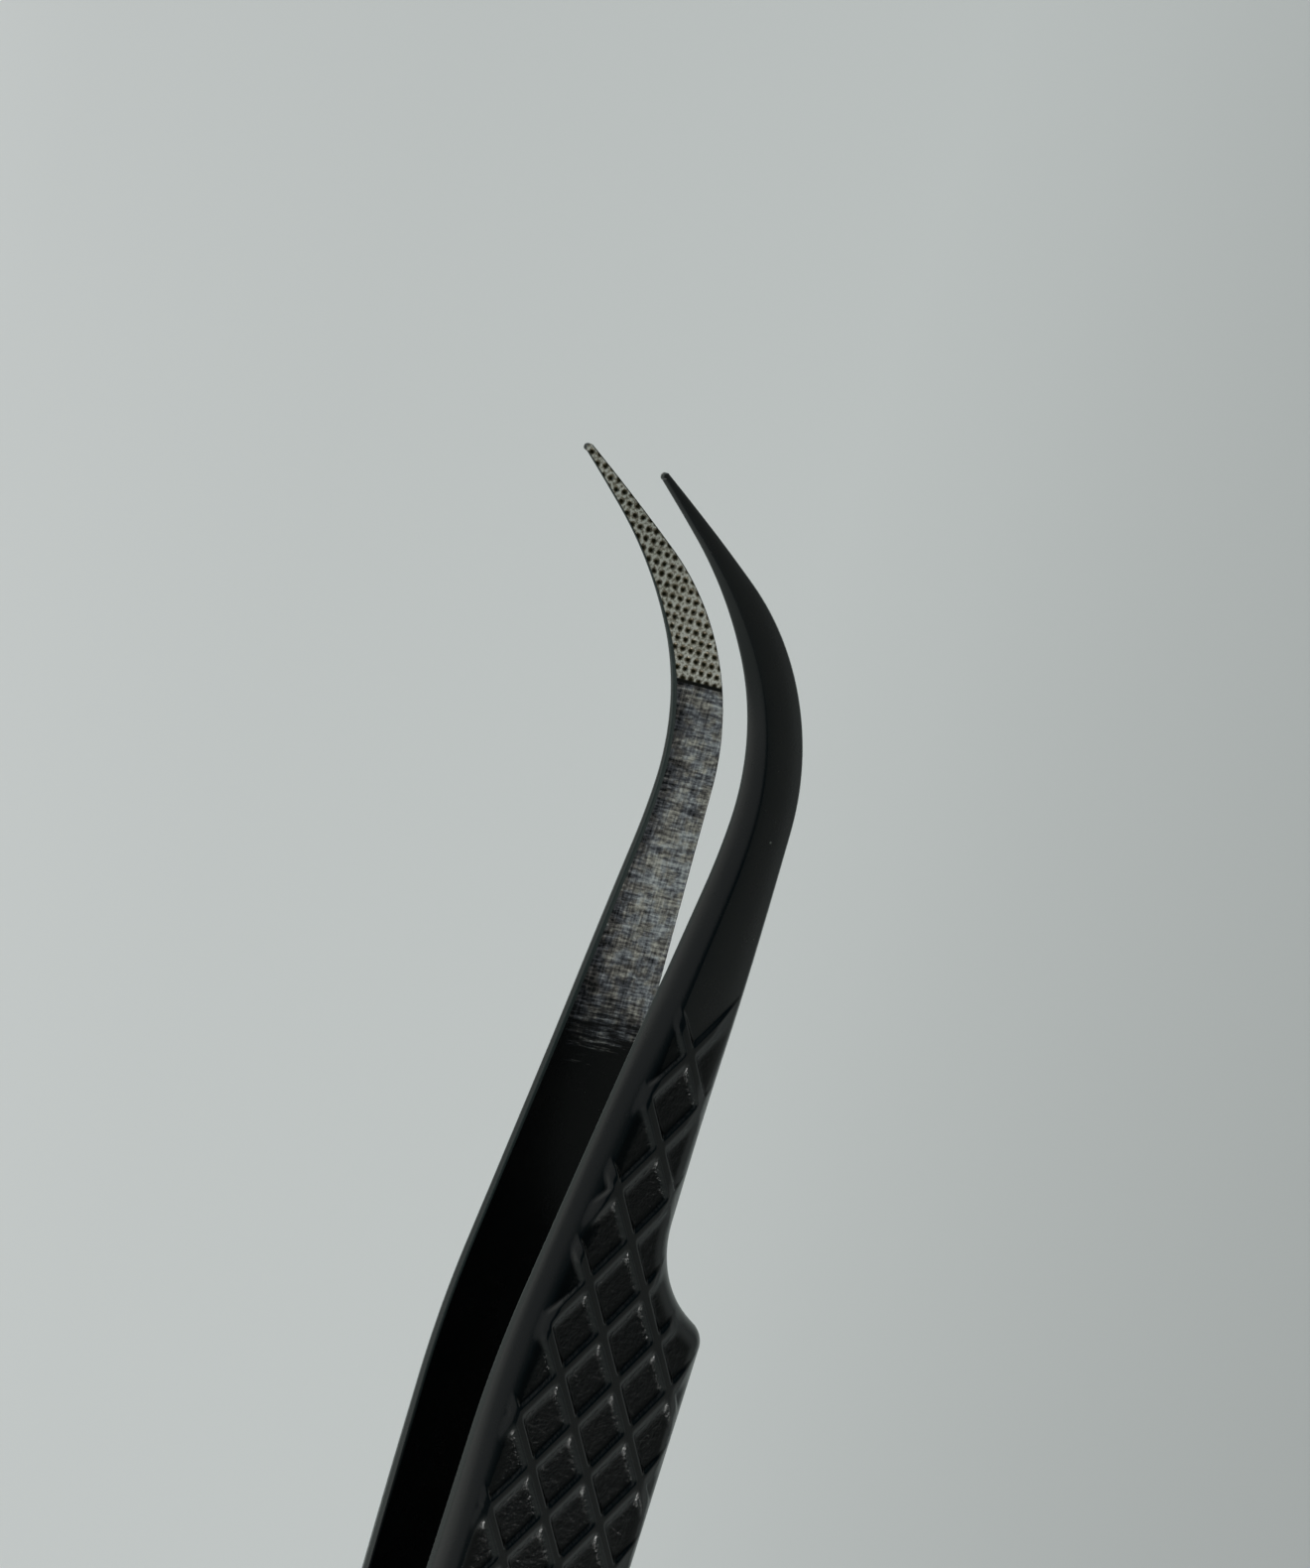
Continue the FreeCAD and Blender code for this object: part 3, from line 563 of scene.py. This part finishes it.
def arm_material():
    """Black coating, with bare brushed steel and the pitted fibre tip on the gripping face."""
    n = Nodes("coated_arm")
    place, xyz = n.attribute("place")
    _, zone = n.attribute("zone")
    x, z = xyz[0], xyz[2]
    inner = n.math("MAXIMUM", zone[0], 0.0)
    grip = n.math("MAXIMUM", n.math("MULTIPLY", zone[0], -1.0), 0.0)
    # the second value is the grip level outside and the distance from the crest edge inside
    level = to_crest = zone[1]
    edge = zone[2]
    grain = n.noise(place, 9.0, 3.0, 0.55)
    coat_color, coat_rough = coating(n, place, grip)
    brushing, reach, steel_color = brushed_steel(n, place, x, to_crest)

    # a coated rim stays along the crest edge, wider towards the tip and nearly gone at its end
    rim = n.math("SUBTRACT", n.steps(x, 24.0, 42.0, 0.13, 0.23), n.steps(x, 54.0, 61.0, 0.0, 0.2))
    bare = n.math("MULTIPLY", inner, n.steps(reach, BARE_X - 0.6, BARE_X + 2.6))
    bare = n.math("MULTIPLY", bare, n.steps(edge, 0.04, 0.08))
    bare = n.math("MULTIPLY", bare, n.math("GREATER_THAN", to_crest, rim))
    coated = n.math("SUBTRACT", 1.0, bare)

    # the fibre tip begins behind a dark groove
    fibre = n.math("MULTIPLY", inner, n.steps(x, FIBRE_X, FIBRE_X + 0.04))
    groove = n.math("ABSOLUTE", n.math("SUBTRACT", x, FIBRE_X))
    groove = n.math("MULTIPLY", inner, n.steps(groove, 0.15, 0.06))
    metal_color = n.blend(fibre, steel_color, fibre_steel(n, place, x, z, grain))
    metal_color = n.blend(groove, metal_color, (0.02, 0.02, 0.018, 1))

    # painted highlight: the coat on the rim is painted paler, standing in for the light caught along the
    # crest edge
    rim_highlight = n.math("MULTIPLY", inner, n.math("LESS_THAN", to_crest, rim))
    rim_highlight = n.math("MULTIPLY", rim_highlight, n.steps(x, 5.0, 25.0))
    coat_color = n.blend(rim_highlight, coat_color, (0.075, 0.09, 0.085, 1))
    n.put(n.shader.inputs["Base Color"], n.blend(bare, coat_color, metal_color))
    n.put(n.shader.inputs["Metallic"], n.math("MULTIPLY", bare, 0.92))
    metal_rough = n.math("ADD", 0.3, n.math("MULTIPLY", fibre, 0.15))
    rough = n.math("ADD", n.math("MULTIPLY", coat_rough, coated), n.math("MULTIPLY", metal_rough, bare))
    n.put(n.shader.inputs["Roughness"], rough)

    # painted shade: the specular level is lowered on the inside and on the floors between the ridges, so
    # they read darker, as in shade
    valley = n.math("MULTIPLY", grip, n.steps(level, 0.3, 0.04))
    shine = n.math("SUBTRACT", COAT_SHINE, n.math("MULTIPLY", inner, 0.28))
    shine = n.math("SUBTRACT", shine, n.math("MULTIPLY", valley, 0.31))
    n.put(n.shader.inputs["Specular IOR Level"], shine)

    # below the ridge tops the die leaves the steel rough
    below = n.math("MULTIPLY", grip, n.steps(level, 0.9, 0.4))
    rubble = n.math("SUBTRACT", n.noise(place, 3.2, 4.0, 0.62), 0.5)
    rubble_height = n.math("MULTIPLY", below, n.steps(edge, 0.9, 1.7, 0.0, RUBBLE_HEIGHT))
    rubble = n.math("MULTIPLY", rubble, rubble_height)
    height = n.math("MULTIPLY", n.math("ADD", grain, rubble), coated)
    height = n.math("ADD", height, n.math("MULTIPLY", brushing, n.math("MULTIPLY", bare, 1.5)))
    n.put(n.shader.inputs["Normal"], n.bump(height, FINE_RELIEF * MM))
    return n.material


def weld_material():
    """Grey steel of a spot weld, blued and mottled by the heat."""
    n = Nodes("weld_steel")
    where = n.tree.nodes.new("ShaderNodeTexCoord").outputs["Object"]
    tone = n.noise(where, 1500.0, 4.0, 0.6)
    color = n.ramp(tone, [(0.3, (0.09, 0.1, 0.13)), (0.5, (0.22, 0.21, 0.2)), (0.7, (0.3, 0.24, 0.16))])
    n.put(n.shader.inputs["Base Color"], color)
    n.put(n.shader.inputs["Metallic"], 1.0)
    n.put(n.shader.inputs["Roughness"], n.math("ADD", 0.35, n.math("MULTIPLY", tone, 0.2)))
    n.put(n.shader.inputs["Normal"], n.bump(tone, 0.02 * MM))
    return n.material


# ---------------------------------------------------------------- pieces
black = arm_material()
rings, zones = arm_points()
for side, name in ((1, "left"), (-1, "right")):
    arm = arm_mesh(name + "_arm_skin", side, rings, zones)
    arm.data.materials.append(black)
    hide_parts(name + "_arm", name + "_tang")
    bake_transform(arm)

weld = weld_material()
for name in ("rear_weld", "front_weld"):
    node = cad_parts[name]
    node.data.materials.clear()
    node.data.materials.append(weld)


# ---------------------------------------------------------------- camera, floor and light
ROLL = math.radians(16.93)
YAW = math.radians(28.8)
LEAN = math.radians(6.28)
DISTANCE = 221.0
# this point of the object lies this far right of and above the middle of the picture, mm
AIM = (19.45, 0.0, 6.15)
AIM_OFFSET = (-5.263, -29.21)
# picture heights from the lens to a picture one height tall
FOCAL_HEIGHTS = 4199.0 / 1580.0
SENSOR = 36.0
# the floor, metres
FLOOR_HALF_SIZE = 4.0
FLOOR_HEIGHT = -0.12
# its painted light and shade change from this far behind the object, over this length
SHADE_NEAR = 0.08
SHADE_LENGTH = 0.42
SHADES = ((0.0, 0.625), (0.1, 0.69), (0.24, 0.785), (0.31, 0.815), (0.45, 0.79), (0.65, 0.75),
          (1.0, 0.71))


def photo_camera():
    """Camera whose right, up and back directions are the rows of one rotation."""
    along = Vector((0, math.cos(LEAN), math.sin(LEAN)))
    upward = Vector((-math.cos(YAW), -math.sin(YAW) * math.sin(LEAN), math.sin(YAW) * math.cos(LEAN)))
    across = Vector((-math.sin(YAW), math.cos(YAW) * math.sin(LEAN), -math.cos(YAW) * math.cos(LEAN)))
    seen = Matrix((along, across, upward)).transposed()
    roll = Matrix(((math.cos(ROLL), math.sin(ROLL), 0), (-math.sin(ROLL), math.cos(ROLL), 0), (0, 0, 1)))
    turn = roll @ seen
    place = turn.transposed() @ (Vector((0, 0, DISTANCE)) - Vector((AIM_OFFSET[0], AIM_OFFSET[1], 0)))
    place = (place + Vector(AIM)) * MM
    camera = bpy.data.objects.new("camera", bpy.data.cameras.new("camera"))
    bpy.context.scene.collection.objects.link(camera)
    camera.matrix_world = Matrix.Translation(place) @ turn.transposed().to_4x4()
    camera.data.sensor_width = SENSOR
    camera.data.lens = FOCAL_HEIGHTS * SENSOR
    camera.data.clip_start = 0.01
    bpy.context.scene.camera = camera


photo_camera()


def floor():
    """Pale matt floor, well below the object."""
    mesh = bpy.data.meshes.new("floor")
    signs = ((-1, -1), (1, -1), (1, 1), (-1, 1))
    corners = [(x * FLOOR_HALF_SIZE, y * FLOOR_HALF_SIZE, FLOOR_HEIGHT) for x, y in signs]
    mesh.from_pydata(corners, [], [(0, 1, 2, 3)])
    obj = bpy.data.objects.new("floor", mesh)
    bpy.context.scene.collection.objects.link(obj)
    n = Nodes("pale_floor")
    where = n.tree.nodes.new("ShaderNodeTexCoord").outputs["Object"]
    parts = n.tree.nodes.new("ShaderNodeSeparateXYZ")
    n.put(parts.inputs[0], where)
    x, y = parts.outputs[0], parts.outputs[1]
    # painted light and shade: seen directly, the ground's colour is palest about 0.2 m behind the object
    # and darker nearer to it and farther away
    behind = n.math("MULTIPLY", n.math("SUBTRACT", y, SHADE_NEAR), 1 / SHADE_LENGTH)
    cloud = n.math("MULTIPLY", n.math("SUBTRACT", n.noise(where, 3.0, 2.0), 0.5), 0.05)
    pale = n.ramp(n.math("ADD", behind, cloud), [(stop, (tone, tone * 1.003, tone * 0.995))
                                                 for stop, tone in SHADES])
    # painted reflection: in the coating's reflections only, the floor is painted palest just in front of
    # the object and beyond its tail, and painted dark just behind the object as its shadow
    glossy = n.tree.nodes.new("ShaderNodeLightPath").outputs["Is Glossy Ray"]
    mirrored = n.ramp(n.steps(y, -0.25, 0.05), [
        (0.0, (0.46, 0.47, 0.46)), (0.3, (0.46, 0.47, 0.46)), (0.62, (0.95, 0.97, 0.96)),
        (0.8, (0.75, 0.77, 0.76)), (0.92, (0.3, 0.32, 0.33)), (1.0, (0.75, 0.78, 0.76))])
    mirrored = n.blend(n.steps(x, -0.08, -0.2), mirrored, (0.95, 0.97, 0.96, 1))
    n.put(n.shader.inputs["Base Color"], n.blend(glossy, pale, mirrored))
    n.shader.inputs["Roughness"].default_value = 0.9
    mesh.materials.append(n.material)


def softbox(name, place, aim, size, power, color, glossy=True):
    """Rectangular lamp; without glossy it isn't seen in reflections."""
    data = bpy.data.lights.new(name, "AREA")
    data.shape = "RECTANGLE"
    data.size, data.size_y = size
    data.energy = power
    data.color = color
    lamp = bpy.data.objects.new(name, data)
    bpy.context.scene.collection.objects.link(lamp)
    lamp.location = place
    lamp.rotation_euler = (Vector(aim) - Vector(place)).to_track_quat("-Z", "Y").to_euler()
    lamp.visible_glossy = glossy


floor()
softbox("overhead", (0, 0.2, 0.6), (0, 0, 0), (0.9, 0.5), 0.66, (1.0, 0.99, 0.95))
softbox("overhead_front", (0, -0.28, 0.6), (0, -0.28, 0), (0.9, 0.46), 0.36, (1.0, 1.0, 0.98))
softbox("tail_lamp", (-0.26, -0.155, -0.105), (0, 0, 0), (0.05, 0.05), 0.42, (1.0, 1.0, 0.97))
softbox("floor_wash", (-0.2, 0.85, 0.45), (0, 0.4, FLOOR_HEIGHT), (1.0, 0.8), 4.7, (1.0, 1.0, 1.0),
        glossy=False)


def studio_world():
    """A dark blue room in front of the object, paler behind it and beyond its tail."""
    world = bpy.data.worlds.new("studio")
    world.use_nodes = True
    tree = world.node_tree
    parts = tree.nodes.new("ShaderNodeSeparateXYZ")
    tree.links.new(tree.nodes.new("ShaderNodeTexCoord").outputs["Generated"], parts.inputs[0])
    shares = []
    for output, low, high in ((1, -0.35, 0.75), (0, -0.25, -0.95)):
        share = tree.nodes.new("ShaderNodeMapRange")
        share.interpolation_type = "SMOOTHSTEP"
        share.inputs["From Min"].default_value = low
        share.inputs["From Max"].default_value = high
        tree.links.new(parts.outputs[output], share.inputs["Value"])
        shares.append(share.outputs[0])
    widest = tree.nodes.new("ShaderNodeMath")
    widest.operation = "MAXIMUM"
    tree.links.new(shares[0], widest.inputs[0])
    tree.links.new(shares[1], widest.inputs[1])
    ramp = tree.nodes.new("ShaderNodeValToRGB")
    ramp.color_ramp.elements[0].color = (0.02, 0.05, 0.065, 1)
    ramp.color_ramp.elements[1].color = (0.38, 0.43, 0.41, 1)
    tree.links.new(widest.outputs[0], ramp.inputs[0])
    tree.links.new(ramp.outputs[0], tree.nodes["Background"].inputs["Color"])
    bpy.context.scene.world = world


studio_world()
bpy.context.scene.view_settings.view_transform = "Standard"
